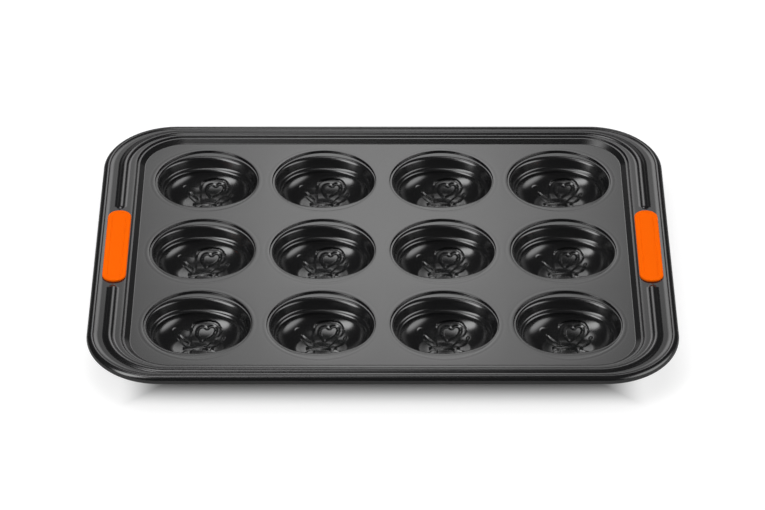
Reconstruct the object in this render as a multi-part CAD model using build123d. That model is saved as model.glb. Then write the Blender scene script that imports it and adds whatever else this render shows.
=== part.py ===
from build123d import *
import os
from math import asin, cos, degrees, radians, sin, sqrt

# A twelve-cup baking pan pressed from one steel sheet, with a wired hem and two soft grips.
# All lengths are in millimetres. X runs left to right through the grips, Y from front to back, Z up.
# The origin is the centre of the pan on the plane that the cup floors stand on.

# The sheet and the wire inside its rolled hem
SHEET = 1.0
WIRE_DIAMETER = 4.0
WIRE_CLEARANCE = 0.2
HEM_PROUD = 0.5           # how far the roll of the hem stands above the flange
HEM_FREE_ANGLE = 210.0    # where the curled sheet ends, turned from outward over the top

# The cups: a round recess, and an egg-shaped well with its blunt end to the left
COLUMNS = 4
ROWS = 3
CUP_GAP = 10.2            # deck left between the recesses of neighbouring cups
RING_DEPTH = 1.0
EGG_LENGTH = 70.6
EGG_WIDTH_SHARE = 0.8527  # the well's width, as a share of its length
EGG_BLUNT_SHARE = 0.4207  # the radius of its blunt end, as a share of its length
EGG_SIDE_SHARE = 0.6601   # the radius of its sides, as a share of its length
EGG_MARGIN = 1.5          # from the well's ends to the wall of the recess
EGG_SHIFT = 0.5           # the well sits this far towards its pointed end
WALL_DEPTH = 8.0          # from the deck to the foot of the well's steep wall
WALL_DRAFT = 2.4          # how much that wall leans in
LEDGE_WIDTH = 2.3         # the sloping ledge below the wall
LEDGE_DROP = 1.9
BOWL_RUN = 13.4           # plan width of the curved side below the ledge
BOWL_FULLNESS = 1.59      # 1 makes that side a quarter of an ellipse, and more makes it straighter
CUP_DEPTH = 21.5
BOWL_SECTIONS = 5

# The deck, and the stepped wall from the deck up to the flange
DECK_MARGIN = 8.3         # from the outer cups' rings to the foot of the wall
DECK_CORNER = 28.5
WALL_RUN = 3.4
WALL_RISE = 2.3
SHELF_WIDTH = 1.2
STEP_RUN = 1.2
STEP_RISE = 1.0

# The flange, from the foot of the wall out to the edge of the hem
RIM_END = 29.2            # at the left and right ends, which carry the grips
RIM_SIDE = 19.1           # along the front and the back
OUTER_CORNER = 51.0

# The raised bead that stiffens the flange
BEAD_INSET_END = 15.0
BEAD_INSET_SIDE = 9.6
BEAD_CORNER = 41.0
BEAD_WIDTH = 5.5
BEAD_RISE = 0.9
BEAD_TO_GRIP = 3.7

# The soft grips, each pushed through a slot in the flange
GRIP_LENGTH = 82.0
GRIP_WIDTH = 16.4
GRIP_END_FLAT = 0.6       # half of the straight part at each end
GRIP_RISE = 1.6
GRIP_ROUND = 0.8
GRIP_LIP = 3.8            # how far the upper pad reaches past the neck
NECK_CLEARANCE = 0.15
UNDER_LIP = 1.8           # how far the lower pad reaches past the slot
UNDER_RISE = 1.4
PANEL_INSET = 3.4
PANEL_DEPTH = 0.4

# Bend radii of the pressed sheet
MOUTH_ROUND = 0.5
RING_FLOOR_ROUND = 0.3
LIP_ROUND = 0.7
LEDGE_TOP_ROUND = 2.0
LEDGE_FOOT_ROUND = 0.8
DECK_ROUND = 1.5
SHELF_ROUND = 0.5

# Heights and half sizes that follow
FULL_TURN = 360.0
QUARTER_TURN = FULL_TURN / 4
DECK_TOP = CUP_DEPTH + SHEET
SHELF_TOP = DECK_TOP + WALL_RISE
FLANGE_TOP = SHELF_TOP + STEP_RISE
FLANGE_UNDER = FLANGE_TOP - SHEET
BORE_RADIUS = WIRE_DIAMETER / 2 + WIRE_CLEARANCE
HEM_RADIUS = BORE_RADIUS + SHEET
HEM_HEIGHT = FLANGE_TOP + HEM_PROUD - HEM_RADIUS
RING_RADIUS = EGG_LENGTH / 2 + EGG_MARGIN
CUP_PITCH = 2 * RING_RADIUS + CUP_GAP
FOOT_X = (COLUMNS - 1) * CUP_PITCH / 2 + RING_RADIUS + DECK_MARGIN
FOOT_Y = (ROWS - 1) * CUP_PITCH / 2 + RING_RADIUS + DECK_MARGIN
HALF_LENGTH = FOOT_X + RIM_END
HALF_WIDTH = FOOT_Y + RIM_SIDE
BEAD_X = HALF_LENGTH - BEAD_INSET_END
BEAD_Y = HALF_WIDTH - BEAD_INSET_SIDE
BEAD_RADIUS = (BEAD_WIDTH**2 / 4 + BEAD_RISE**2) / (2 * BEAD_RISE)
BEAD_HEIGHT = FLANGE_TOP + BEAD_RISE - BEAD_RADIUS
GRIP_CORNER = GRIP_WIDTH / 2 - GRIP_END_FLAT
WORK_MARGIN = 10.0        # how far the working blocks reach past the sheet before it is cut free
SAME_HEIGHT = 0.001       # faces within this of a height count as lying at it


def egg(grow, height):
    """Egg outline of four tangent arcs, moved outward by grow, with the pointed end to the right."""
    half = EGG_LENGTH / 2
    rise = EGG_WIDTH_SHARE * half
    blunt_radius = EGG_BLUNT_SHARE * EGG_LENGTH
    side_radius = EGG_SIDE_SHARE * EGG_LENGTH
    drop = side_radius - rise
    blunt_x = blunt_radius - half
    side_x = blunt_x + sqrt((side_radius - blunt_radius) ** 2 - drop**2)
    reach = half - side_x
    point_radius = (side_radius**2 - reach**2 - drop**2) / (2 * (side_radius - reach))
    point_x = half - point_radius
    side = Vector(side_x, -drop)
    blunt = Vector(blunt_x, 0)
    point = Vector(point_x, 0)
    left = blunt + (blunt - side).normalized() * (blunt_radius + grow)
    right = point + (point - side).normalized() * (point_radius + grow)
    low_left = Vector(left.X, -left.Y)
    low_right = Vector(right.X, -right.Y)
    outline = Curve() + [
        ThreePointArc(left, Vector(side_x, rise + grow), right),
        ThreePointArc(right, Vector(half + grow, 0), low_right),
        ThreePointArc(low_right, Vector(side_x, -rise - grow), low_left),
        ThreePointArc(low_left, Vector(-half - grow, 0), left),
    ]
    return Pos(EGG_SHIFT, 0, height) * make_face(outline)


def frame_outline(half_x, half_y, corner, height):
    """Rounded rectangle about the pan's centre."""
    return Pos(0, 0, height) * RectangleRounded(2 * half_x, 2 * half_y, corner)


def flat_ring(body, height):
    """The flat face with a hole in it that lies at this height."""
    flats = body.faces().filter_by(Plane.XY)
    level = flats.filter_by_position(Axis.Z, height - SAME_HEIGHT, height + SAME_HEIGHT)
    return level.sort_by(SortBy.AREA)[-1]


def round_inner(body, height, radius):
    """Round the inner border of the flat ring at this height."""
    return fillet(flat_ring(body, height).inner_wires().edges(), radius)


def round_outer(body, height, radius):
    """Round the outer border of the flat ring at this height."""
    return fillet(flat_ring(body, height).outer_wire().edges(), radius)


def level_edges(body, height):
    """The edges that lie level at this height."""
    return body.edges().filter_by_position(Axis.Z, height - SAME_HEIGHT, height + SAME_HEIGHT)


def bowl_levels():
    """Inset from the egg and depth of the outlines below the ledge, down to the flat floor."""
    ledge_inset = WALL_DRAFT + LEDGE_WIDTH
    ledge_depth = WALL_DEPTH + LEDGE_DROP
    drop = CUP_DEPTH - ledge_depth
    levels = []
    for index in range(BOWL_SECTIONS):
        turn = radians(QUARTER_TURN * index / (BOWL_SECTIONS - 1))
        inset = ledge_inset + BOWL_RUN * (1 - cos(turn) ** BOWL_FULLNESS)
        levels.append((inset, ledge_depth + drop * sin(turn)))
    return levels


def cup_space(grow):
    """Space inside one cup, measured down from the deck top, with every surface moved out by grow."""
    ring_floor = -RING_DEPTH - grow
    ledge_top = -WALL_DEPTH - grow
    ledge_foot = ledge_top - LEDGE_DROP
    ring_radius = RING_RADIUS + grow
    mouth = extrude(Pos(0, 0, -grow) * Circle(ring_radius + 2 * MOUTH_ROUND), WORK_MARGIN)
    recess = extrude(Pos(0, 0, ring_floor) * Circle(ring_radius), WORK_MARGIN)
    recess = fillet(recess.faces().sort_by(Axis.Z)[0].edges(), RING_FLOOR_ROUND)
    space = round_inner(mouth + recess, -grow, MOUTH_ROUND)
    wall_foot = egg(grow - WALL_DRAFT, ledge_top)
    well = loft([egg(grow, ring_floor), wall_foot], ruled=True)
    ledge = loft([wall_foot, egg(grow - WALL_DRAFT - LEDGE_WIDTH, ledge_foot)], ruled=True)
    space = space + well + ledge
    lip = flat_ring(space, ring_floor).inner_wires().edges()
    space = fillet(lip, LIP_ROUND)
    space = space + loft([egg(grow - inset, -depth - grow) for inset, depth in bowl_levels()])
    space = fillet(level_edges(space, ledge_top), LEDGE_TOP_ROUND)
    return fillet(level_edges(space, ledge_foot), LEDGE_FOOT_ROUND)


def tray_space(grow):
    """Space above the deck, inside the stepped wall, with every surface moved out by grow."""
    deck = DECK_TOP - grow
    shelf = SHELF_TOP - grow
    flange = FLANGE_TOP - grow
    wall_out = WALL_RUN + grow
    shelf_out = wall_out + SHELF_WIDTH
    step_out = shelf_out + STEP_RUN
    wall = loft(
        [
            frame_outline(FOOT_X + grow, FOOT_Y + grow, DECK_CORNER + grow, deck),
            frame_outline(FOOT_X + wall_out, FOOT_Y + wall_out, DECK_CORNER + wall_out, shelf),
        ],
        ruled=True,
    )
    step = loft(
        [
            frame_outline(FOOT_X + shelf_out, FOOT_Y + shelf_out, DECK_CORNER + shelf_out, shelf),
            frame_outline(FOOT_X + step_out, FOOT_Y + step_out, DECK_CORNER + step_out, flange),
        ],
        ruled=True,
    )
    wall = fillet(wall.faces().sort_by(Axis.Z)[0].edges(), DECK_ROUND)
    opening = frame_outline(FOOT_X + step_out, FOOT_Y + step_out, DECK_CORNER + step_out, flange)
    space = wall + step + extrude(opening, WORK_MARGIN)
    space = round_inner(space, shelf, SHELF_ROUND)
    return round_outer(space, shelf, SHELF_ROUND)


def swept(path, section):
    """Carry a section, drawn with x outward and y up, along a path that starts along +X or +Y."""
    start = Plane(origin=path @ 0, x_dir=(path % 0).cross(Vector(0, 0, 1)), z_dir=-(path % 0))
    return sweep(start * section, path=path)


def both_ways(half, plane):
    """A solid made whole with its mirror image."""
    return half + mirror(half, plane)


def round_the_rim(inset, section, height):
    """Carry a section all round the pan at a distance in from its outer edge."""
    half_x = HALF_LENGTH - inset
    half_y = HALF_WIDTH - inset
    corners = [(0, -half_y), (half_x, -half_y), (half_x, half_y), (0, half_y)]
    path = Pos(0, 0, height) * FilletPolyline(*corners, radius=OUTER_CORNER - inset)
    return both_ways(swept(path, section), Plane.YZ)


def bead_run(radius):
    """The front run of the bead, with rounded ends beside the grips, and its twin at the back."""
    gap = GRIP_LENGTH / 2 + BEAD_TO_GRIP + BEAD_WIDTH / 2
    corners = [(-BEAD_X, -gap), (-BEAD_X, -BEAD_Y), (BEAD_X, -BEAD_Y), (BEAD_X, -gap)]
    path = Pos(0, 0, BEAD_HEIGHT) * FilletPolyline(*corners, radius=BEAD_CORNER)
    run = swept(path, Circle(radius))
    for end in (path @ 0, path @ 1):
        run = run + Pos(*end) * Sphere(radius)
    return both_ways(run, Plane.XZ)


def under_surface(grow):
    """Everything below the pressed surface; grow 0 gives the top face and SHEET the underside."""
    half_x = HALF_LENGTH - HEM_RADIUS
    half_y = HALF_WIDTH - HEM_RADIUS
    outline = frame_outline(half_x, half_y, OUTER_CORNER - HEM_RADIUS, -WORK_MARGIN)
    block = extrude(outline, WORK_MARGIN + FLANGE_TOP - grow)
    block = block + bead_run(BEAD_RADIUS - grow) - tray_space(grow)
    places = GridLocations(CUP_PITCH, CUP_PITCH, COLUMNS, ROWS)
    cup = Pos(0, 0, DECK_TOP) * cup_space(grow)
    return block - [place * cup for place in places]


def hem_section():
    """The curled sheet: a ring round the wire from the flange, over the outside, to its free edge."""
    middle = BORE_RADIUS + SHEET / 2
    rise = FLANGE_TOP - SHEET / 2 - HEM_HEIGHT
    joined = 180 - degrees(asin(rise / middle))
    turn = FULL_TURN - HEM_FREE_ANGLE + joined
    outer = CenterArc((0, 0), HEM_RADIUS, joined - turn, turn)
    inner = CenterArc((0, 0), BORE_RADIUS, joined - turn, turn)
    return make_face(Curve() + [outer, inner, Line(outer @ 0, inner @ 0), Line(outer @ 1, inner @ 1)])


def grip_outline(inset, height):
    """The grip's oblong, moved in by inset, about the grip's own centre."""
    width = GRIP_WIDTH - 2 * inset
    length = GRIP_LENGTH - 2 * inset
    return Pos(0, 0, height) * RectangleRounded(width, length, GRIP_CORNER - inset)


def grip():
    """One grip about its own centre: a pad on the flange, a neck in the slot and a pad below."""
    slot_inset = GRIP_LIP - NECK_CLEARANCE
    upper = extrude(grip_outline(0, FLANGE_TOP), GRIP_RISE)
    upper = fillet(upper.faces().sort_by(Axis.Z)[-1].edges(), GRIP_ROUND)
    upper = upper - extrude(grip_outline(PANEL_INSET, FLANGE_TOP + GRIP_RISE - PANEL_DEPTH), GRIP_RISE)
    neck = extrude(grip_outline(GRIP_LIP, FLANGE_UNDER), SHEET)
    lower = extrude(grip_outline(slot_inset - UNDER_LIP, FLANGE_UNDER), -UNDER_RISE)
    lower = fillet(lower.faces().sort_by(Axis.Z)[0].edges(), GRIP_ROUND)
    return upper + neck + lower


def pan_body():
    """The pressed sheet with its twelve cups, the slots for the grips and the curled hem."""
    sheet = under_surface(0) - under_surface(SHEET)
    slot = extrude(grip_outline(GRIP_LIP - NECK_CLEARANCE, FLANGE_UNDER - SHEET), 3 * SHEET)
    bore = round_the_rim(HEM_RADIUS, Circle(BORE_RADIUS), HEM_HEIGHT)
    sheet = sheet - [Pos(side * BEAD_X, 0, 0) * slot for side in (-1, 1)] - bore
    return sheet + round_the_rim(HEM_RADIUS, hem_section(), HEM_HEIGHT)


def save(shape, node):
    """Write one node as a STEP file."""
    export_step(shape, f"parts/{node}.step")
    print(node, "volume", round(shape.volume, 1))


os.makedirs("parts", exist_ok=True)
save(pan_body(), "pan_body")
save(round_the_rim(HEM_RADIUS, Circle(WIRE_DIAMETER / 2), HEM_HEIGHT), "rim_wire")
save(Pos(-BEAD_X, 0, 0) * grip(), "left_grip")
save(Pos(BEAD_X, 0, 0) * grip(), "right_grip")
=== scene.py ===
# %% [markdown]
# # A twelve-cup muffin pan with egg-shaped wells
# The real pan is one steel sheet, pressed to shape and coated, whose edge is rolled round a wire. A soft orange
# grip is pushed through a slot at each end. This lesson builds it again as clean grids of points, because a
# pressed sheet is nothing but a smooth surface, and a grid lets every bend keep its own radius.

# %% The frame of solids that everything is built around
from math import atan2, radians, tan

import bpy
import numpy as np
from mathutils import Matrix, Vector


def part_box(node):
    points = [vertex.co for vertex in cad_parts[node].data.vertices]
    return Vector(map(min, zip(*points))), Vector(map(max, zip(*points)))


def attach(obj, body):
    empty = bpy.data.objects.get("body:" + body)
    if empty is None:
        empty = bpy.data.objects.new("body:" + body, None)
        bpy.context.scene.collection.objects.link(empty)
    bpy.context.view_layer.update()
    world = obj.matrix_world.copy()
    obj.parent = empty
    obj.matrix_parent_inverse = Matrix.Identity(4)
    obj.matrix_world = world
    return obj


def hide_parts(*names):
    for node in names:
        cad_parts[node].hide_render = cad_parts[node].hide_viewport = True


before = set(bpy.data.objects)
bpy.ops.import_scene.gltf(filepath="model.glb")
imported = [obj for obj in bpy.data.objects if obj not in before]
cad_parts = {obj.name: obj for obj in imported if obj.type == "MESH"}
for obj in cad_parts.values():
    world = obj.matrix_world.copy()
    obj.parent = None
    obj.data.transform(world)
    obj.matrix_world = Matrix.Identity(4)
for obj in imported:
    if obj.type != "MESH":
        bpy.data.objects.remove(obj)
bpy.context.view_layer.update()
print("solids:", sorted(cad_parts))

# %% [markdown]
# ## Sizes
# Lengths are in millimetres here and become metres only when a mesh is made. The heights and the outline are
# read from the solids, and the bends, steps and clearances are the ones that the sheet was drawn with. What only
# one later step needs is defined there.

# %% Sizes of the sheet
MM = 0.001
body_high = np.array(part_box("pan_body")[1]) / MM
wire_low, wire_high = (np.array(corner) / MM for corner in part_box("rim_wire"))
SHEET = 1.0
HALF_LENGTH = body_high[0]
HALF_WIDTH = body_high[1]
OUTER_CORNER = 51.0
WIRE_RADIUS = (wire_high[2] - wire_low[2]) / 2
WIRE_GAP, FLANGE_DROP = 0.2, 0.5
HEM_RADIUS = WIRE_RADIUS + WIRE_GAP + SHEET
HEM_HEIGHT = (wire_high[2] + wire_low[2]) / 2
FLANGE_TOP = HEM_HEIGHT + HEM_RADIUS - FLANGE_DROP
CUP_DEPTH = 21.5
DECK_TOP = CUP_DEPTH + SHEET
print("pan", 2 * HALF_LENGTH, "by", 2 * HALF_WIDTH, "flange at", FLANGE_TOP, "deck at", DECK_TOP)

# %% Sizes of the cups
COLUMNS, ROWS, PITCH = 4, 3, 83.8
EGG_LENGTH, EGG_WIDTH = 70.6, 60.2
print("cups", COLUMNS, "by", ROWS, "at", PITCH, "wells", EGG_LENGTH, "by", EGG_WIDTH, "and", CUP_DEPTH, "deep")

# %% Where the deck ends and the wall round it starts
RIM_END, RIM_SIDE, DECK_CORNER = 29.2, 19.1, 28.5
FOOT_X = HALF_LENGTH - RIM_END
FOOT_Y = HALF_WIDTH - RIM_SIDE
WALL_RUN, WALL_RISE, DECK_ROUND = 3.4, 2.3, 1.5
print("wall's foot at", FOOT_X, "and", FOOT_Y)

# %% [markdown]
# ## Turning a grid into a mesh
# Every surface below is an array of points with the shape (rows, columns, 3). A sheet has two of them, the face
# that holds the batter and the underside. The same quads join the points of each, and wherever the grid has an
# open border a strip of wall closes the gap between the two, so that the sheet is a solid skin 1 mm thick.

# %% Grid to mesh
def grid_quads(rows, columns, wrap):
    """Corner numbers of the quads between neighbouring rows and columns. With wrap, the last column is joined to
    the first."""
    ahead = np.arange(columns if wrap else columns - 1)
    base = np.arange(rows - 1)[:, None] * columns
    nxt = (ahead + 1) % columns
    corners = [base + ahead, base + nxt, base + columns + nxt, base + columns + ahead]
    return np.stack(corners, axis=-1).reshape(-1, 4)


def border_edges(faces):
    """The directed edges that belong to one face only, out of all the faces' edges."""
    edges = np.concatenate([np.stack([f, np.roll(f, -1, axis=1)], axis=-1).reshape(-1, 2) for f in faces])
    key = edges.min(axis=1) * (edges.max() + 1) + edges.max(axis=1)
    _, where, counts = np.unique(key, return_index=True, return_counts=True)
    return edges[where[counts == 1]]


def make_mesh(name, points, faces, material, node, sharp_turn=40.0):
    """Puts points in millimetres and lists of quads or triangles into a mesh that stands for a solid."""
    mesh = bpy.data.meshes.new(name)
    used, loops = np.unique(np.concatenate([f.ravel() for f in faces]), return_inverse=True)
    points = points[used]
    sizes = np.concatenate([np.full(len(f), f.shape[1]) for f in faces])
    mesh.vertices.add(len(points))
    mesh.vertices.foreach_set("co", (points * MM).astype(np.float32).ravel())
    mesh.loops.add(len(loops))
    mesh.loops.foreach_set("vertex_index", loops.astype(np.int32))
    mesh.polygons.add(len(sizes))
    mesh.polygons.foreach_set("loop_start", (np.cumsum(sizes) - sizes).astype(np.int32))
    mesh.update(calc_edges=True)
    mesh.shade_smooth()
    mesh.set_sharp_from_angle(angle=radians(sharp_turn))
    mesh.validate()
    piece = bpy.data.objects.new(name, mesh)
    bpy.context.scene.collection.objects.link(piece)
    mesh.materials.append(material)
    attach(piece, "root")
    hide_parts(node)
    return piece


def sheet_mesh(name, upper, lower, faces, material, node):
    """Two matching point sets, an upper and a lower, closed along every open border of the faces that join them."""
    count = len(upper)
    under = [f[:, ::-1] + count for f in faces]
    edge = border_edges(faces)
    wall = np.stack([edge[:, 1], edge[:, 0], edge[:, 0] + count, edge[:, 1] + count], axis=-1)
    points = np.concatenate([upper, lower])
    return make_mesh(name, points, faces + under + [wall], material, node)


# %% [markdown]
# ## Bends
# A pressed sheet never has a sharp fold. Its cross-section is drawn as a few straight runs, and each corner is
# then replaced by an arc of the bend's own radius, which is what the press tool does to the steel.

# %% A line with rounded corners
def bent_line(corners, radii, steps=5):
    """Straight runs whose inner corners become arcs: each arc starts radius * tan(turn / 2) before the corner."""
    corners = np.asarray(corners, float)
    pieces = [corners[:1]]
    for before, corner, after, radius in zip(corners, corners[1:], corners[2:], radii):
        into = (corner - before) / np.linalg.norm(corner - before)
        out = (after - corner) / np.linalg.norm(after - corner)
        turn = atan2(into[0] * out[1] - into[1] * out[0], into @ out)
        side = np.sign(turn) * np.array([-into[1], into[0]])
        start = corner - into * radius * tan(abs(turn) / 2)
        angle = np.linspace(0, abs(turn), steps)[:, None]
        pieces.append(start + radius * (np.sin(angle) * into + (1 - np.cos(angle)) * side))
    return np.concatenate(pieces + [corners[-1:]])


# %% [markdown]
# ## The egg
# The well's outline is four arcs that touch without a corner: a wide one at the blunt end, a narrower one at the
# point, and a flat one along each side. Every level of the well is the same outline moved inward, so the grid
# uses the direction in which the outline faces as its column number, and the inset as its row.

# %% The egg outline and its parallel curves
BLUNT_RADIUS, SIDE_RADIUS = 29.7, 46.6
EGG_SHIFT, BOWL_SHIFT = 0.5, -0.3      # how far the egg stands off the recess's centre, and the bowl off the egg's
WALL_FOOT = (2.4, 8.0)                 # inset and depth of the steep wall's foot
half_egg = EGG_LENGTH / 2
side_drop = SIDE_RADIUS - EGG_WIDTH / 2
blunt_x = BLUNT_RADIUS - half_egg
side_x = blunt_x + np.sqrt((SIDE_RADIUS - BLUNT_RADIUS) ** 2 - side_drop**2)
reach = half_egg - side_x
POINT_RADIUS = (SIDE_RADIUS**2 - reach**2 - side_drop**2) / (2 * (SIDE_RADIUS - reach))
point_x = half_egg - POINT_RADIUS
POINT_TURN = atan2(side_drop, point_x - side_x)
BLUNT_TURN = atan2(side_drop, blunt_x - side_x)
print("radius at the egg's point", round(POINT_RADIUS, 2))


def egg_points(turn, inset):
    """Points of the egg moved inward by inset: centre + (radius - inset) * direction, with the arc chosen by turn.
    The wall leans more at the point than at the blunt end, so what lies inside it is shifted a little."""
    direction = np.abs(np.arctan2(np.sin(turn), np.cos(turn)))
    ends = [direction < POINT_TURN, direction > BLUNT_TURN]
    centre_x = np.select(ends, [point_x, blunt_x], side_x)
    centre_y = np.select(ends, [0.0, 0.0], -side_drop) * np.sign(np.sin(turn))
    radius = np.select(ends, [POINT_RADIUS, BLUNT_RADIUS], SIDE_RADIUS)
    x = centre_x + (radius - inset) * np.cos(turn) + EGG_SHIFT + BOWL_SHIFT * np.clip(inset / WALL_FOOT[0], 0, 1)
    y = centre_y + (radius - inset) * np.sin(turn)
    return x, y


# %% [markdown]
# ## The butterfly in the floor
# Each well has a butterfly pressed into it, so that the cake carries the figure. It could be sculpted by hand, but a
# formula can be measured and moved. It is drawn here as height above the plain bowl: closed curves through a few
# chosen points mark its wings, and the height ramps up across their borders. It is mirrored about the egg's long
# axis, as the real figure is, so only one half is drawn.

# %% Closed curves and the distance to them
def smooth_loop(points, steps=10):
    """A closed curve through the points, each span a cubic whose end slopes are half the chord between neighbours."""
    p = np.asarray(points, float)
    t = np.linspace(0, 1, steps, endpoint=False)[:, None, None]
    before, after, beyond = np.roll(p, 1, 0), np.roll(p, -1, 0), np.roll(p, -2, 0)
    slope, next_slope = (after - before) / 2, (beyond - p) / 2
    curve = (2 * t**3 - 3 * t**2 + 1) * p + (t**3 - 2 * t**2 + t) * slope
    curve = curve + (3 * t**2 - 2 * t**3) * after + (t**3 - t**2) * next_slope
    return curve.transpose(1, 0, 2).reshape(-1, 2)


def distance_to_line(x, y, line, closed):
    """Shortest distance from each (x, y) to a run of straight pieces, taken piece by piece as one array."""
    a = line if closed else line[:-1]
    b = np.roll(line, -1, 0) if closed else line[1:]
    along = b - a
    px, py = x[..., None] - a[:, 0], y[..., None] - a[:, 1]
    t = np.clip((px * along[:, 0] + py * along[:, 1]) / (along**2).sum(1), 0, 1)
    return np.hypot(px - t * along[:, 0], py - t * along[:, 1]).min(-1)


def depth_inside(x, y, loop):
    """Distance to a closed curve, positive inside it. A point is inside if a ray from it crosses an odd number of
    the curve's sides."""
    a, b = loop, np.roll(loop, -1, 0)
    px, py = x[..., None], y[..., None]
    spans = (a[:, 1] > py) != (b[:, 1] > py)
    rise = np.where(b[:, 1] == a[:, 1], 1.0, b[:, 1] - a[:, 1])
    crossings = (spans & (px < a[:, 0] + (py - a[:, 1]) / rise * (b[:, 0] - a[:, 0]))).sum(-1)
    return np.where(crossings % 2 == 1, 1.0, -1.0) * distance_to_line(x, y, loop, True)


def ramp(value, low, high):
    """0 below low, 1 above high, and an even S-curve between them."""
    t = np.clip((value - low) / (high - low), 0, 1)
    return t * t * (3 - 2 * t)


# %% The butterfly's curves, in the well's own plane, head to the right
FORE_WING = smooth_loop([(-4.2, -2), (-5.5, 10.2), (-5.6, 16.8), (-4.0, 21.4), (1.4, 22.9), (7.4, 22.5),
                         (12.3, 20.6), (15.0, 16.9), (13.9, 12.6), (8.8, 6.6), (4.6, 1.0), (1.0, -2.5)])
HEART = smooth_loop([(2.2, 8.0), (-0.5, 12.0), (-1.5, 15.6), (-0.6, 18.6), (1.6, 19.8), (4.0, 19.4), (5.2, 18.2),
                     (6.4, 19.2), (8.8, 19.6), (10.8, 18.2), (11.2, 15.8), (9.4, 12.9), (5.8, 10.4)])
HIND_WING = smooth_loop([(-6.2, 0.4), (-9.4, 3.0), (-13.8, 8.6), (-17.2, 12.6), (-18.2, 15.4), (-16.4, 17.4),
                         (-12.6, 17.9), (-8.6, 17.3), (-6.4, 15.4), (-6.0, 9.0)])
HIND_SLOT = np.array([(-13.2, 12.6), (-8.0, 6.9)])
ANTENNA = np.array([(9.0, 1.8), (12.6, 3.4), (15.2, 6.4), (16.4, 9.6)])
WING_BORDER = (-0.2, 0.5)
BODY_BACK, BODY_FRONT, BODY_RADIUS, BODY_RISE = -8.0, 4.6, 2.0, 0.8
HEAD_X, HEAD_RADIUS, HEAD_RISE = 8.4, 1.8, 1.0
FEELER_RISE, TIP_RISE, GROOVE_DEPTH, SLOT_DEPTH = 0.7, 0.9, 0.6, 0.6
FORE_LIFT, FORE_SINK, HIND_LIFT, HIND_SINK = 0.4, 0.33, 0.25, 0.12
print("points round a fore wing:", len(FORE_WING))


# %% The butterfly's height
def rounded_bar(squared, radius, rise):
    """Half an ellipse across a bar: rise * sqrt(1 - distance ** 2 / radius ** 2), and 0 outside it."""
    return rise * np.sqrt(np.clip(1 - squared / radius**2, 0, 1))


def butterfly_height(x, y, rise):
    """Height of the figure above a bowl that stands rise over its lowest level. A wing is a field of height
    lift - sink * rise, which climbs less steeply than the bowl and so is sunk at its outer edge. A sunk line runs
    round each heart, and rounded bars make the rest. Height + rise never falls under 0, where the pan stands."""
    side = np.abs(y)
    wing = depth_inside(x, side, FORE_WING)
    hind = depth_inside(x, side, HIND_WING)
    heart = np.abs(depth_inside(x, side, HEART))
    height = (FORE_LIFT - FORE_SINK * rise) * ramp(wing, *WING_BORDER)
    height = height + (HIND_LIFT - HIND_SINK * rise) * ramp(hind, *WING_BORDER) * ramp(-wing, *WING_BORDER)
    height = height * ramp(side, 0.5, 3.0)
    groove = GROOVE_DEPTH * (1 - ramp(heart, 0.15, 0.9))
    slot = SLOT_DEPTH * (1 - ramp(distance_to_line(x, side, HIND_SLOT, False), 0.2, 1.1))
    bar_x = np.clip(x, BODY_BACK, BODY_FRONT)
    body = rounded_bar((x - bar_x) ** 2 + y**2, BODY_RADIUS, BODY_RISE)
    head = rounded_bar((x - HEAD_X) ** 2 + y**2, HEAD_RADIUS, HEAD_RISE)
    feeler = FEELER_RISE * (1 - ramp(distance_to_line(x, side, ANTENNA, False), 0.3, 1.0))
    tip = TIP_RISE * (1 - ramp(np.hypot(x - ANTENNA[-1, 0], side - ANTENNA[-1, 1]), 0.6, 1.5))
    return np.maximum(height - groove - slot, -rise) + np.maximum.reduce([body, head, feeler, tip])


# %% [markdown]
# ## One cup, from its middle out to the deck round it
# The section of a cup runs from a gently swelling floor up a round side, over a narrow sloping ledge, up a steep
# wall to a shallow round recess, and over the recess's edge to the deck. A profile spun round an axis can't make it,
# because the well is an egg and the recess a circle, so each row of the grid has an outline of its own. The
# underside uses the same formula with everything moved out by the sheet's thickness. The deck is shared out among
# the cups: each takes the part of it that lies nearest, so that neighbours meet along straight lines in the flat,
# where no seam can show.

# %% Grid of a cup
TURNS = 288      # a multiple of 8, so that a column runs into every corner where four cups meet
FLOOR_ROWS, BOWL_ROWS = 20, 54
turns = np.arange(TURNS) * 2 * np.pi / TURNS
cos_turn, sin_turn = np.cos(turns), np.sin(turns)
DECK_EDGE_X = FOOT_X - DECK_ROUND * tan(atan2(WALL_RISE, WALL_RUN) / 2)
DECK_EDGE_Y = FOOT_Y - (FOOT_X - DECK_EDGE_X)
DECK_EDGE_CORNER = DECK_CORNER - (FOOT_X - DECK_EDGE_X)
print("the deck ends at", DECK_EDGE_X, "and", DECK_EDGE_Y)


# %% Floor and bowl
BOWL_TOP = (4.7, 9.9)                  # inset and depth of the bowl's upper edge
BOWL_RUN, BOWL_FULLNESS = 13.4, 1.59
BOWL_START, BOWL_END = radians(4), radians(88)
FLOOR_RISE, FLOOR_WAVE = 0.8, 1.15


def floor_swell(share):
    """Height of the floor above the plane that the pan stands on: one wave, rise * (1 + cos(2 pi share / wave)) / 2,
    which is high in the middle, lowest halfway out, and climbs again to the foot of the bowl's side."""
    return FLOOR_RISE * (1 + np.cos(2 * np.pi * share / FLOOR_WAVE)) / 2


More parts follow.
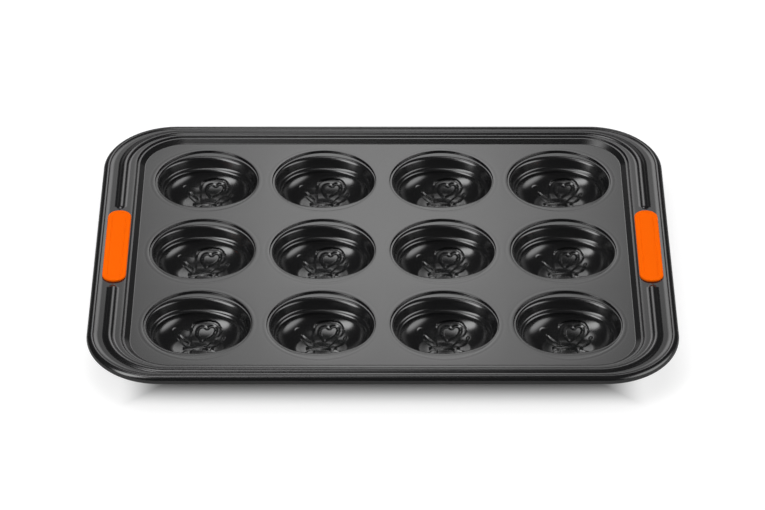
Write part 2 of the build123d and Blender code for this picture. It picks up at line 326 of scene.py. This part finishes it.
def bowl_rows(grow):
    """Floor and bowl of a well. Side rows follow inset = run * (1 - cos(a) ** fullness), depth = drop * sin(a), and
    the figure pushes each point along the normal."""
    angle = np.linspace(BOWL_END, BOWL_START, BOWL_ROWS)[:, None]
    inset = BOWL_TOP[0] + BOWL_RUN * (1 - np.cos(angle) ** BOWL_FULLNESS)
    foot = CUP_DEPTH - floor_swell(1.0)
    drop = (foot - BOWL_TOP[1]) / np.sin(BOWL_END)
    normal = np.array([drop * np.cos(angle), BOWL_RUN * BOWL_FULLNESS * np.sin(angle) *
                       np.cos(angle) ** (BOWL_FULLNESS - 1)])
    normal = normal / np.hypot(*normal)
    plain_x, plain_y = egg_points(turns, inset)
    lift = butterfly_height(plain_x, plain_y, CUP_DEPTH - BOWL_TOP[1] - drop * np.sin(angle))
    bowl_x, bowl_y = egg_points(turns, inset - grow)
    bowl_x = bowl_x - lift * normal[0] * cos_turn
    bowl_y = bowl_y - lift * normal[0] * sin_turn
    bowl_z = -BOWL_TOP[1] - drop * np.sin(angle) - grow + lift * normal[1]
    share = np.linspace(0, 1, FLOOR_ROWS + 1)[1:-1, None]
    middle_x = EGG_SHIFT + BOWL_SHIFT
    floor_x = middle_x + share * (plain_x[0] - middle_x)
    floor_y = share * plain_y[0]
    swell = floor_swell(share)
    floor_z = swell - CUP_DEPTH - grow + butterfly_height(floor_x, floor_y, swell)
    return [np.concatenate(pair) for pair in ((floor_x, bowl_x), (floor_y, bowl_y), (floor_z, bowl_z))]


# %% Ledge, wall and lip
LEDGE_START, LEDGE_END = (3.1, 8.65), (4.0, 9.1)
LEDGE_ROUNDS, NARROW_LIP_ROUND, WIDE_LIP_ROUND = (0.8, 1.6, 0.5, 2.0), 0.8, 2.8
RING_RADIUS, RING_DEPTH, RING_RISE = 36.8, 1.3, 0.45      # the recess's floor climbs by the rise where it is widest


def wall_rows(grow):
    """From the top of the bowl over the sloping ledge, up the steep wall and over the lip to the recess's floor. The
    lip's radius grows with the room between it and the recess's wall: a mix of a narrow and a wide section."""
    inner = [(BOWL_TOP[0] + 0.1, BOWL_TOP[1] + 3), BOWL_TOP, LEDGE_END, LEDGE_START, WALL_FOOT]
    lips = ((NARROW_LIP_ROUND, RING_DEPTH), (WIDE_LIP_ROUND, RING_DEPTH - RING_RISE))
    narrow, wide = (bent_line(np.array(inner + [(0, depth), (-4, RING_DEPTH)]) + (-grow, grow),
                              [*LEDGE_ROUNDS, lip], 8)[1:-1] for lip, depth in lips)
    mouth_x, mouth_y = egg_points(turns, 0.0)
    room = ramp(RING_RADIUS - np.hypot(mouth_x, mouth_y), 0.8, 4.5)
    inset = narrow[:, :1] + (wide - narrow)[:, :1] * room
    depth = narrow[:, 1:] + (wide - narrow)[:, 1:] * room
    x, y = egg_points(turns, inset)
    return x, y, -depth


# %% Recess and mouth
MOUTH_ROUND, RING_FLOOR_ROUND = 0.35, 0.2
DIMPLE_RADIUS, DIMPLE_WIDTH, DIMPLE_DEPTH = 40.1, 1.4, 0.015


def ring_rows(grow):
    """The round recess's wall and mouth, and the shallow dimple that the press leaves in the deck round it."""
    radius = RING_RADIUS + grow
    corners = [(radius - 1, RING_DEPTH + grow), (radius, RING_DEPTH + grow), (radius, grow), (radius + 2, grow)]
    line = bent_line(corners, [RING_FLOOR_ROUND, MOUTH_ROUND], 6)[1:-1]
    start = max(line[-1, 0] + 0.15, DIMPLE_RADIUS - DIMPLE_WIDTH)
    across = np.linspace(start, DIMPLE_RADIUS + DIMPLE_WIDTH, 7)
    dimple = DIMPLE_DEPTH * np.cos((across - DIMPLE_RADIUS) / DIMPLE_WIDTH * np.pi / 2) ** 2
    line = np.concatenate([line, np.stack([across, grow + dimple], axis=-1)])
    x, y = line[:, :1] * cos_turn, line[:, :1] * sin_turn
    return x, y, np.broadcast_to(-line[:, 1:], x.shape)


# %% Where a cup's share of the deck ends
def deck_edge(centre_x, centre_y, column, row):
    """Where each direction from a cup's centre leaves its share of the deck: a neighbour's border or the wall's foot.
    The direction nearest to each corner of the share is led into that corner, so that no gap is left there."""
    right = PITCH / 2 if column < COLUMNS - 1 else DECK_EDGE_X - centre_x
    left = PITCH / 2 if column > 0 else DECK_EDGE_X + centre_x
    back = PITCH / 2 if row > 0 else DECK_EDGE_Y - centre_y
    front = PITCH / 2 if row < ROWS - 1 else DECK_EDGE_Y + centre_y
    span_x = np.where(cos_turn > 0, right, left) / np.maximum(np.abs(cos_turn), 1e-9)
    span_y = np.where(sin_turn > 0, back, front) / np.maximum(np.abs(sin_turn), 1e-9)
    span = np.minimum(span_x, span_y)
    to_x = np.sign(cos_turn) * (DECK_EDGE_X - DECK_EDGE_CORNER) - centre_x
    to_y = np.sign(sin_turn) * (DECK_EDGE_Y - DECK_EDGE_CORNER) - centre_y
    along = to_x * cos_turn + to_y * sin_turn
    off = along**2 + DECK_EDGE_CORNER**2 - to_x**2 - to_y**2
    round_span = along + np.sqrt(np.maximum(off, 0))
    beyond_x = (span * cos_turn - to_x) * np.sign(cos_turn) > 0
    beyond_y = (span * sin_turn - to_y) * np.sign(sin_turn) > 0
    span = np.where(beyond_x & beyond_y, np.minimum(round_span, span), span)
    x, y = span * cos_turn, span * sin_turn
    for corner_x, at_end in ((right, column == COLUMNS - 1), (-left, column == 0)):
        for corner_y, at_side in ((back, row == 0), (-front, row == ROWS - 1)):
            if not (at_end and at_side):
                nearest = np.argmax(cos_turn * corner_x + sin_turn * corner_y)
                x[nearest], y[nearest] = corner_x, corner_y
    return x, y


# %% [markdown]
# ## Coating, steel and silicone
# Three finishes make the pan. The coating is a dark, even, satin skin: it is nearly black where it looks at
# something dark and pale grey where it looks at something bright, so its gloss does more than its colour. It could
# be painted grey, but then it would stay grey from every side. The fine grain that breaks up its reflections is one
# group of nodes that all three finishes share, each with numbers of its own.

# %% The grain shared by all finishes
PATCH_SCALE = 14.0


def grain_group():
    """A node group with two scales of noise: fine grain for height, and slow patches for roughness."""
    group = bpy.data.node_groups.new("surface_grain", "ShaderNodeTree")
    for name, default in (("Grain Scale", 900.0), ("Patch Scale", PATCH_SCALE), ("Roughness", 0.3), ("Spread", 0.05)):
        socket = group.interface.new_socket(name=name, in_out="INPUT", socket_type="NodeSocketFloat")
        socket.default_value = default
    group.interface.new_socket(name="Height", in_out="OUTPUT", socket_type="NodeSocketFloat")
    group.interface.new_socket(name="Roughness", in_out="OUTPUT", socket_type="NodeSocketFloat")
    group.interface.new_socket(name="Patches", in_out="OUTPUT", socket_type="NodeSocketFloat")
    nodes, links = group.nodes, group.links
    given, result = nodes.new("NodeGroupInput"), nodes.new("NodeGroupOutput")
    place = nodes.new("ShaderNodeTexCoord")
    fine, slow = nodes.new("ShaderNodeTexNoise"), nodes.new("ShaderNodeTexNoise")
    slow.inputs["Detail"].default_value = 3
    fine.inputs["Detail"].default_value = 2
    for noise, scale in ((fine, "Grain Scale"), (slow, "Patch Scale")):
        links.new(place.outputs["Object"], noise.inputs["Vector"])
        links.new(given.outputs[scale], noise.inputs["Scale"])
    centred = nodes.new("ShaderNodeMath")
    centred.operation = "SUBTRACT"
    centred.inputs[1].default_value = 0.5
    links.new(slow.outputs["Fac"], centred.inputs[0])
    spread = nodes.new("ShaderNodeMath")
    spread.operation = "MULTIPLY_ADD"
    links.new(centred.outputs[0], spread.inputs[0])
    links.new(given.outputs["Spread"], spread.inputs[1])
    links.new(given.outputs["Roughness"], spread.inputs[2])
    links.new(fine.outputs["Fac"], result.inputs["Height"])
    links.new(spread.outputs[0], result.inputs["Roughness"])
    links.new(slow.outputs["Fac"], result.inputs["Patches"])
    return group


GRAIN = grain_group()
MIX_A, MIX_B, MIX_RESULT = 6, 7, 2    # a Mix node's colour sockets, which share their names with other kinds


def grained_material(name, dark, light, roughness, spread, grain_scale, bump, **settings):
    """A Principled surface whose colour, roughness and tiny bumps come from the shared grain."""
    material = bpy.data.materials.new(name)
    material.use_nodes = True
    nodes, links = material.node_tree.nodes, material.node_tree.links
    shader = nodes["Principled BSDF"]
    grain = nodes.new("ShaderNodeGroup")
    grain.node_tree = GRAIN
    values = {"Grain Scale": grain_scale, "Patch Scale": PATCH_SCALE, "Roughness": roughness, "Spread": spread}
    for socket, value in values.items():
        grain.inputs[socket].default_value = value
    tint = nodes.new("ShaderNodeMix")
    tint.data_type = "RGBA"
    tint.inputs[MIX_A].default_value = (*dark, 1)
    tint.inputs[MIX_B].default_value = (*light, 1)
    relief = nodes.new("ShaderNodeBump")
    relief.inputs["Strength"].default_value = 1.0
    relief.inputs["Distance"].default_value = bump
    links.new(grain.outputs["Patches"], tint.inputs[0])
    links.new(tint.outputs[MIX_RESULT], shader.inputs["Base Color"])
    links.new(grain.outputs["Roughness"], shader.inputs["Roughness"])
    links.new(grain.outputs["Height"], relief.inputs["Height"])
    links.new(relief.outputs["Normal"], shader.inputs["Normal"])
    for socket, value in settings.items():
        shader.inputs[socket.replace("_", " ")].default_value = value
    return material


# %% The three finishes
COATING = grained_material("nonstick_coating", dark=(0.006, 0.006, 0.0063), light=(0.009, 0.009, 0.0094),
                           roughness=0.2, spread=0.03, grain_scale=1400, bump=3e-6, IOR=1.8)
WIRE_STEEL = grained_material("drawn_wire", dark=(0.42, 0.42, 0.43), light=(0.55, 0.55, 0.56),
                              roughness=0.3, spread=0.1, grain_scale=1200, bump=4e-6, Metallic=1.0)
SILICONE = grained_material("orange_silicone", dark=(0.94, 0.120, 0.0006), light=(0.98, 0.138, 0.001),
                            roughness=0.6, spread=0.06, grain_scale=1800, bump=6e-6, Specular_IOR_Level=0.02)
print("finishes:", COATING.name, WIRE_STEEL.name, SILICONE.name)

# %% [markdown]
# ## The twelve cups
# The rows of all parts of a cup's section are stacked into one grid. One more point at the very middle closes
# the floor with a ring of triangles.

# %% Make the cups
def cup_rows(grow):
    """The rows that all cups share, for one face of the sheet, about the cup's own centre."""
    parts = zip(bowl_rows(grow), wall_rows(grow), ring_rows(grow))
    return np.stack([np.concatenate(part) for part in parts], axis=-1)


def cup_points(rows, grow, edge_x, edge_y):
    """All points of one face of a cup: the middle point first, then row after row, out to its share of the deck."""
    middle_x = EGG_SHIFT + BOWL_SHIFT
    middle_z = butterfly_height(np.array([middle_x]), np.zeros(1), FLOOR_RISE)[0] + FLOOR_RISE - CUP_DEPTH - grow
    edge = np.stack([edge_x, edge_y, np.full(TURNS, -grow)], axis=-1)
    return np.concatenate([[[middle_x, 0.0, middle_z]], rows.reshape(-1, 3), edge])


upper_rows, lower_rows = cup_rows(0.0), cup_rows(SHEET)
row_count = len(upper_rows) + 1
around = np.arange(TURNS)
quads = grid_quads(row_count, TURNS, True)[:, ::-1] + 1
fan = np.stack([np.zeros(TURNS, int), around + 1, (around + 1) % TURNS + 1], axis=-1)
for row in range(ROWS):
    for column in range(COLUMNS):
        centre_x = (column - (COLUMNS - 1) / 2) * PITCH
        centre_y = ((ROWS - 1) / 2 - row) * PITCH
        edge_x, edge_y = deck_edge(centre_x, centre_y, column, row)
        place = np.array([centre_x, centre_y, DECK_TOP])
        upper = cup_points(upper_rows, 0.0, edge_x, edge_y) + place
        lower = cup_points(lower_rows, SHEET, edge_x, edge_y) + place
        name = f"cup_{row + 1}_{column + 1}"
        sheet_mesh(name, upper, lower, [quads, fan], COATING, "pan_body")
print("rows in a cup:", row_count, "columns:", TURNS)

# %% [markdown]
# ## The rim
# Outside the deck the sheet climbs a low wall with a step, runs out as a flange with a raised bead, and rolls
# round the wire. A profile could be swept along one path, but these lines aren't parallel: the ends are wider than
# the sides. Seen from above, every line of it is a rounded rectangle, which three numbers describe, its two half
# sizes and its corner radius, so a row of the grid is those three and a height.

# %% Sizes of the rim, and of the slots that take the grips
SHELF_WIDTH, STEP_RUN, SHELF_ROUND, STEP_ROUND = 1.2, 1.2, 0.5, 0.5
BEAD_INSET_END, BEAD_INSET_SIDE, BEAD_CORNER, BEAD_WIDTH, BEAD_RISE = 15.0, 9.6, 41.0, 5.5, 0.9
GRIP_LENGTH, GRIP_WIDTH, GRIP_CORNER, GRIP_LIP = 82.0, 16.4, 7.6, 3.8
BEAD_GAP, SLOT_GAP = 3.7, 0.15
BEAD_END = GRIP_LENGTH / 2 + BEAD_GAP + BEAD_WIDTH / 2
SLOT_HALF_LENGTH = GRIP_LENGTH / 2 - GRIP_LIP + SLOT_GAP
SLOT_HALF_WIDTH = GRIP_WIDTH / 2 - GRIP_LIP + SLOT_GAP
GRIP_X = HALF_LENGTH - BEAD_INSET_END
HEM_END = radians(150)
print("slots", 2 * SLOT_HALF_LENGTH, "by", 2 * SLOT_HALF_WIDTH, "at", GRIP_X)

# %% Columns of the rim
CORNER_STEPS, LONG_STEPS = 44, 24


def rim_columns():
    """Column places as (a, b, turn): a and b slide from -1 to 1 along the straight sides, turn swings the corners."""
    corner = np.linspace(0, np.pi / 2, CORNER_STEPS + 1)
    end = (BEAD_END - np.array([0, 0.25, 0.6, 1.05, 1.6, 2.2, 2.75, 3.6])) / (HALF_WIDTH - OUTER_CORNER)
    slot_end = SLOT_HALF_LENGTH / (HALF_WIDTH - OUTER_CORNER)
    outer = np.linspace(1, end[0], 9)[1:-1]
    inner = np.linspace(slot_end, 0, 8)
    half = np.concatenate([outer, end, inner])
    end_run = np.concatenate([half, -half[-2::-1]])
    long_run = np.linspace(1, -1, LONG_STEPS)[1:-1]
    runs = []
    for quarter, (a, b) in enumerate(((1, 1), (-1, 1), (-1, -1), (1, -1))):
        swing = corner + quarter * np.pi / 2
        runs.append(np.stack([np.full(swing.shape, a), np.full(swing.shape, b), swing], axis=-1))
        if quarter % 2 == 0:
            sides = a * long_run, np.full(long_run.shape, b)
        else:
            sides = np.full(end_run.shape, a), b * end_run
        runs.append(np.stack([*sides, np.full(sides[0].shape, (quarter + 1) * np.pi / 2)], axis=-1))
    return np.concatenate(runs)


rim_a, rim_b, rim_turn = rim_columns().T
print("columns round the rim:", len(rim_a))


def rounded_rectangle(half_x, half_y, corner):
    """Points of rounded rectangles, one row each: corner centre + radius * direction."""
    x = (half_x - corner) * rim_a + corner * np.cos(rim_turn)
    y = (half_y - corner) * rim_b + corner * np.sin(rim_turn)
    return x, y


# %% Rows of the wall, shelf and step
def wall_outlines(grow):
    """The wall, shelf and step: distance out from the wall's foot, and height, with each bend rounded."""
    foot = np.array([0.0, DECK_TOP])
    top = foot + (WALL_RUN, WALL_RISE)
    shelf = top + (SHELF_WIDTH, 0)
    step = np.array([shelf[0] + STEP_RUN, FLANGE_TOP])
    corners = np.array([foot - (3, 0), foot, top, shelf, step, step + (3, 0)]) + (grow, -grow)
    line = bent_line(corners, [DECK_ROUND, SHELF_ROUND, SHELF_ROUND, STEP_ROUND], 5)[1:-1]
    line[0, 0] = DECK_EDGE_X - FOOT_X
    out, height = line[:, :1], line[:, 1:]
    return FOOT_X + out, FOOT_Y + out, DECK_CORNER + out, height


# %% Rows of the flange and the roll
BEYOND_BEAD = 9.0      # an offset so large that the bead's height is 0 there


def flange_outlines(grow):
    """The flange from the step to the crease beside the roll. Its rows are parallel to the bead, with two more on
    each side of it, of which the nearer runs along the edge of the slots."""
    across = BEAD_WIDTH / 2 * np.sin(np.linspace(-1, 1, 15) * np.pi / 2)[:, None]
    bead = [HALF_LENGTH - BEAD_INSET_END + across, HALF_WIDTH - BEAD_INSET_SIDE + across, BEAD_CORNER + across]
    inner = [side[-1] for side in wall_outlines(grow)[:3]]
    crease = HEM_RADIUS + np.sqrt((HEM_RADIUS - grow) ** 2 - (FLANGE_TOP - grow - HEM_HEIGHT) ** 2)
    outer = [np.array([size - crease]) for size in (HALF_LENGTH, HALF_WIDTH, OUTER_CORNER)]
    slot_in = (SLOT_HALF_WIDTH - BEAD_WIDTH / 2) / (bead[0][0, 0] - inner[0][0])
    slot_out = (SLOT_HALF_WIDTH - BEAD_WIDTH / 2) / (outer[0][0] - bead[0][-1, 0])
    into = np.array([0.7, slot_in])[:, None]
    out = np.array([slot_out, 0.6])[:, None]
    rows = [np.concatenate([b[0] + into * (i - b[0]), b, b[-1] + out * (o - b[-1])])
            for i, b, o in zip(inner, bead, outer)]
    offset = np.concatenate([np.full((2, 1), -BEYOND_BEAD), across, np.full((2, 1), BEYOND_BEAD)])
    return rows, offset


def hem_outlines(grow):
    """The roll round the wire: an arc from the crease, over the top and the outside, to the sheet's free edge."""
    radius = HEM_RADIUS - grow
    start = np.pi - np.arcsin((FLANGE_TOP - grow - HEM_HEIGHT) / radius)
    angle = np.linspace(start, -HEM_END, 40)[:, None]
    inset = HEM_RADIUS - radius * np.cos(angle)
    return HALF_LENGTH - inset, HALF_WIDTH - inset, OUTER_CORNER - inset, HEM_HEIGHT + radius * np.sin(angle)


# %% Make the rim
def rim_points(grow):
    """One face of the whole rim, row by row. The bead's height is a round cap that fades past its ends."""
    wall = wall_outlines(grow)
    flange, offset = flange_outlines(grow)
    hem = hem_outlines(grow)
    wall_x, wall_y = rounded_rectangle(*wall[:3])
    flange_x, flange_y = rounded_rectangle(*flange)
    hem_x, hem_y = rounded_rectangle(*hem[:3])
    radius = (BEAD_WIDTH**2 / 4 + BEAD_RISE**2) / (2 * BEAD_RISE)
    past = np.maximum(BEAD_END - np.abs(flange_y), 0)
    reach_in = np.hypot(offset, past)
    bead = np.sqrt(np.maximum(radius**2 - reach_in**2, 0)) - (radius - BEAD_RISE)
    flange_z = FLANGE_TOP - grow + np.maximum(bead, 0)
    x = np.concatenate([wall_x, flange_x, hem_x])
    y = np.concatenate([wall_y, flange_y, hem_y])
    z = np.concatenate([np.broadcast_to(wall[3], wall_x.shape), flange_z, np.broadcast_to(hem[3], hem_x.shape)])
    return np.stack([x, y, z], axis=-1)


upper, lower = rim_points(0.0), rim_points(SHEET)
rim_rows, rim_count = upper.shape[:2]
quads = grid_quads(rim_rows, rim_count, True)[:, ::-1]
middle = upper.reshape(-1, 3)[quads].mean(axis=1)
across_slot = np.abs(np.abs(middle[:, 0]) - GRIP_X) < SLOT_HALF_WIDTH
in_slot = across_slot & (np.abs(middle[:, 1]) < SLOT_HALF_LENGTH)
print("rim rows", rim_rows, "columns", rim_count, "quads left out for the slots", in_slot.sum())
upper, lower = upper.reshape(-1, 3), lower.reshape(-1, 3)
sheet_mesh("rim", upper, lower, [quads[~in_slot]], COATING, "pan_body")

# %% [markdown]
# ## The grips
# A grip is one moulded piece of silicone: a pad above the flange with a sunk panel, a neck that fills the slot
# and a smaller pad below that keeps it in. A bevelled box would give the pad alone. A line that goes round the whole
# section, carried as oblongs at different insets and heights, gives the pads and the neck in one skin.

# %% Make the grips
GRIP_RISE, GRIP_ROUND, PANEL_INSET, PANEL_DEPTH, PANEL_SLOPE = 1.6, 0.8, 3.4, 0.4, 0.25
PAD_LIP, PAD_THICKNESS = 1.8, 1.4                # the smaller pad below the flange
TOP_MIDDLE, PAD_MIDDLE = 7.4, 7.0                # insets at which one flat face closes the skin
GRIP_STEPS = 14


def oblong(inset):
    """The grip's outline moved inward: straight sides with corner arcs of radius corner - inset."""
    corner = np.maximum(GRIP_CORNER - inset, 0.05)
    swing = np.concatenate([np.linspace(0, np.pi / 2, GRIP_STEPS) + k * np.pi / 2 for k in range(4)])
    sign_a = np.repeat([1, -1, -1, 1], GRIP_STEPS)
    sign_b = np.repeat([1, 1, -1, -1], GRIP_STEPS)
    x = (GRIP_WIDTH / 2 - inset - corner) * sign_a + corner * np.cos(swing)
    y = (GRIP_LENGTH / 2 - inset - corner) * sign_b + corner * np.sin(swing)
    return x, y


def grip_section():
    """Inset and height from the panel's middle over the top, down the side, through the neck and under."""
    top = FLANGE_TOP + GRIP_RISE
    panel = top - PANEL_DEPTH
    under = FLANGE_TOP - SHEET
    low = under - PAD_THICKNESS
    neck = GRIP_LIP
    foot = GRIP_LIP - SLOT_GAP - PAD_LIP
    over = [(TOP_MIDDLE, panel), (PANEL_INSET + PANEL_SLOPE, panel), (PANEL_INSET - PANEL_SLOPE, top), (0, top),
            (0, FLANGE_TOP)]
    below = [(neck, FLANGE_TOP), (neck, under), (foot, under)]
    beneath = [(foot, under), (foot, low), (PAD_MIDDLE, low)]
    upper_line = bent_line(over + [(0.4, FLANGE_TOP)], [0.25, 0.25, GRIP_ROUND, 0.12], 5)[:-1]
    lower_line = bent_line(beneath, [GRIP_ROUND], 6)
    return np.concatenate([upper_line, below, lower_line[1:]])


for name, side in (("left_grip", -1), ("right_grip", 1)):
    section = grip_section()
    x, y = oblong(section[:, :1])
    z = np.broadcast_to(section[:, 1:], x.shape)
    points = np.stack([x + side * GRIP_X, y, z], axis=-1)
    count = points.shape[1]
    quads = grid_quads(len(section), count, True)[:, ::-1]
    first = np.arange(count)[None]
    last = (len(section) - 1) * count + np.arange(count)[None, ::-1]
    make_mesh(f"{name}_silicone", points.reshape(-1, 3), [quads, first, last], SILICONE, name)
    print(name, "has", len(section), "rows of", count, "points")

# %% [markdown]
# ## The wire
# The wire lies inside the roll, where nobody sees it. Its solid is a smooth ring already, so no new mesh is made,
# and it only takes its steel.

# %% The wire keeps its own solid
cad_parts["rim_wire"].data.materials.clear()
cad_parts["rim_wire"].data.materials.append(WIRE_STEEL)

# %% [markdown]
# ## Floor, light and camera
# A dark glossy thing is lit by what it mirrors, so the lights are large soft boxes, each placed where some faces of
# the pan mirror it into the camera. The panel behind gives the deck its grey sheen. A box on each side puts the
# streaks into the wells, a small one overhead lights their floors, and nothing shines from the front, which leaves
# the near faces dark. The ceiling lights the grips and the floor, but mirror rays don't see it, because it would wash
# out the wells. The floor could be white, but it would need so much light that the grips would glare. It is a middle
# grey that glows for the camera alone. The glow fades out round and under the pan's outline, which paints a shadow
# there, shaped to the outline, on top of the shadow that the lights cast.

# %% Floor
FLOOR_HALF, FLOOR_GREY = 4.0, 0.35
# Start and full place a painted shadow round the pan: no glow inside start, full glow past full.
GLOW_LENGTH_SHARE, GLOW_START, GLOW_FULL, GLOW_STRENGTH = 0.9, 0.785, 0.99, 0.74


def plain_floor():
    """A large grey plane that the camera sees as white. Its glow adds no light to the pan, and it fades out under
    it, which paints a shadow round the pan's outline over the pan's cast shadow: glow = strength * S-curve, from
    start to full, of the larger of |x| / (length share * half length) and |y| / half width."""
    half = FLOOR_HALF
    mesh = bpy.data.meshes.new("floor")
    mesh.from_pydata([(-half, -half, 0), (half, -half, 0), (half, half, 0), (-half, half, 0)], [], [(0, 1, 2, 3)])
    floor = bpy.data.objects.new("floor", mesh)
    bpy.context.scene.collection.objects.link(floor)
    material = bpy.data.materials.new("white_floor")
    material.use_nodes = True
    nodes, links = material.node_tree.nodes, material.node_tree.links
    shader = nodes["Principled BSDF"]
    shader.inputs["Base Color"].default_value = (FLOOR_GREY, FLOOR_GREY, FLOOR_GREY, 1)
    shader.inputs["Roughness"].default_value = 1.0
    shader.inputs["Emission Color"].default_value = (1, 1, 1, 1)
    place = nodes.new("ShaderNodeTexCoord")
    parts = nodes.new("ShaderNodeSeparateXYZ")
    links.new(place.outputs["Object"], parts.inputs[0])
    reach = nodes.new("ShaderNodeMath")
    reach.operation = "MAXIMUM"
    for axis, half_size in ((0, GLOW_LENGTH_SHARE * HALF_LENGTH * MM), (1, HALF_WIDTH * MM)):
        size = nodes.new("ShaderNodeMath")
        size.operation = "ABSOLUTE"
        share = nodes.new("ShaderNodeMath")
        share.operation = "DIVIDE"
        share.inputs[1].default_value = half_size
        links.new(parts.outputs[axis], size.inputs[0])
        links.new(size.outputs[0], share.inputs[0])
        links.new(share.outputs[0], reach.inputs[axis])
    # This ramp paints a shadow round the pan's outline: the glow is 0 under the pan and climbs to full past it, over
    # the cast shadow.
    painted_shadow_ramp = nodes.new("ShaderNodeMapRange")
    painted_shadow_ramp.interpolation_type = "SMOOTHSTEP"
    painted_shadow_ramp.inputs["From Min"].default_value = GLOW_START
    painted_shadow_ramp.inputs["From Max"].default_value = GLOW_FULL
    painted_shadow_ramp.inputs["To Max"].default_value = GLOW_STRENGTH
    links.new(reach.outputs[0], painted_shadow_ramp.inputs["Value"])
    rays = nodes.new("ShaderNodeLightPath")
    glow = nodes.new("ShaderNodeMath")
    glow.operation = "MULTIPLY"
    links.new(rays.outputs["Is Camera Ray"], glow.inputs[0])
    links.new(painted_shadow_ramp.outputs["Result"], glow.inputs[1])
    links.new(glow.outputs[0], shader.inputs["Emission Strength"])
    mesh.materials.append(material)


plain_floor()

# %% World
world = bpy.data.worlds.new("studio")
bpy.context.scene.world = world
world.use_nodes = True
world.node_tree.nodes["Background"].inputs["Color"].default_value = (1, 1, 1, 1)
world.node_tree.nodes["Background"].inputs["Strength"].default_value = 0.03


# %% Lights
def soften(lamp, core):
    """Keeps a lamp's full strength inside core, a share of its half size, and lets it fall to 0 at its edges."""
    lamp.use_nodes = True
    nodes, links = lamp.node_tree.nodes, lamp.node_tree.links
    place = nodes.new("ShaderNodeNewGeometry")
    flat = nodes.new("ShaderNodeVectorMath")
    flat.operation = "MULTIPLY"
    flat.inputs[1].default_value = (1, 1, 0)
    offset = nodes.new("ShaderNodeVectorMath")
    offset.operation = "DISTANCE"
    offset.inputs[1].default_value = (0.5, 0.5, 0)
    links.new(place.outputs["Parametric"], flat.inputs[0])
    links.new(flat.outputs["Vector"], offset.inputs[0])
    fall = nodes.new("ShaderNodeMapRange")
    fall.interpolation_type = "SMOOTHSTEP"
    fall.inputs["From Min"].default_value = core / 2
    fall.inputs["From Max"].default_value = 0.5
    fall.inputs["To Min"].default_value = 1.0
    fall.inputs["To Max"].default_value = 0.0
    links.new(offset.outputs["Value"], fall.inputs["Value"])
    links.new(fall.outputs["Result"], nodes["Emission"].inputs["Strength"])


def soft_box(name, heading, elevation, distance, width, height, brightness, core):
    """A light aimed at the pan: place = distance * (cos e cos h, cos e sin h, sin e). Its power is brightness * pi *
    area, so that a brightness of 1 looks like white paper in the light's middle."""
    lamp = bpy.data.lights.new(name, "AREA")
    lamp.shape = "RECTANGLE"
    lamp.size, lamp.size_y = width, height
    lamp.energy = brightness * np.pi * width * height
    soften(lamp, core)
    box = bpy.data.objects.new(name, lamp)
    h, e = radians(heading), radians(elevation)
    box.location = distance * Vector((np.cos(e) * np.cos(h), np.cos(e) * np.sin(h), np.sin(e)))
    box.rotation_euler = (-box.location).to_track_quat("-Z", "Y").to_euler()
    bpy.context.scene.collection.objects.link(box)
    return box


# name: heading and elevation in degrees, distance, width, height, brightness, core
SOFT_BOXES = {
    "back_panel": (90, 36.5, 1.85, 1.1, 1.1, 2.28, 0.0),
    "backdrop": (90, 12, 1.9, 3.6, 0.8, 0.3, 0.6),
    "left_box": (214, 38, 1.6, 1.0, 2.4, 4.3, 0.4),
    "right_box": (-20, 24, 1.6, 3.0, 1.6, 2.5, 0.3),
    "ceiling": (90, 80, 2.0, 3.0, 3.0, 2.0, 0.4),
    "overhead": (140, 75, 1.8, 1.1, 1.1, 2.8, 0.2),
}
boxes = {name: soft_box(name, *values) for name, values in SOFT_BOXES.items()}
boxes["ceiling"].visible_glossy = False
print("lights:", sorted(boxes))

# %% Camera
LENS_MM, SENSOR_MM, DISTANCE, ELEVATION = 174.7, 36.0, 2.588, radians(36.65)
AIM = Vector((-0.0002, 0.0005, 0.0180))
camera = bpy.data.cameras.new("camera")
camera.lens, camera.sensor_width, camera.clip_start = LENS_MM, SENSOR_MM, 0.05
view = bpy.data.objects.new("camera", camera)
view.location = AIM + DISTANCE * Vector((0, -np.cos(ELEVATION), np.sin(ELEVATION)))
view.rotation_euler = (AIM - view.location).to_track_quat("-Z", "Y").to_euler()
bpy.context.scene.collection.objects.link(view)
bpy.context.scene.camera = view
bpy.context.scene.view_settings.view_transform = "Standard"
print("camera at", [round(value, 3) for value in view.location])
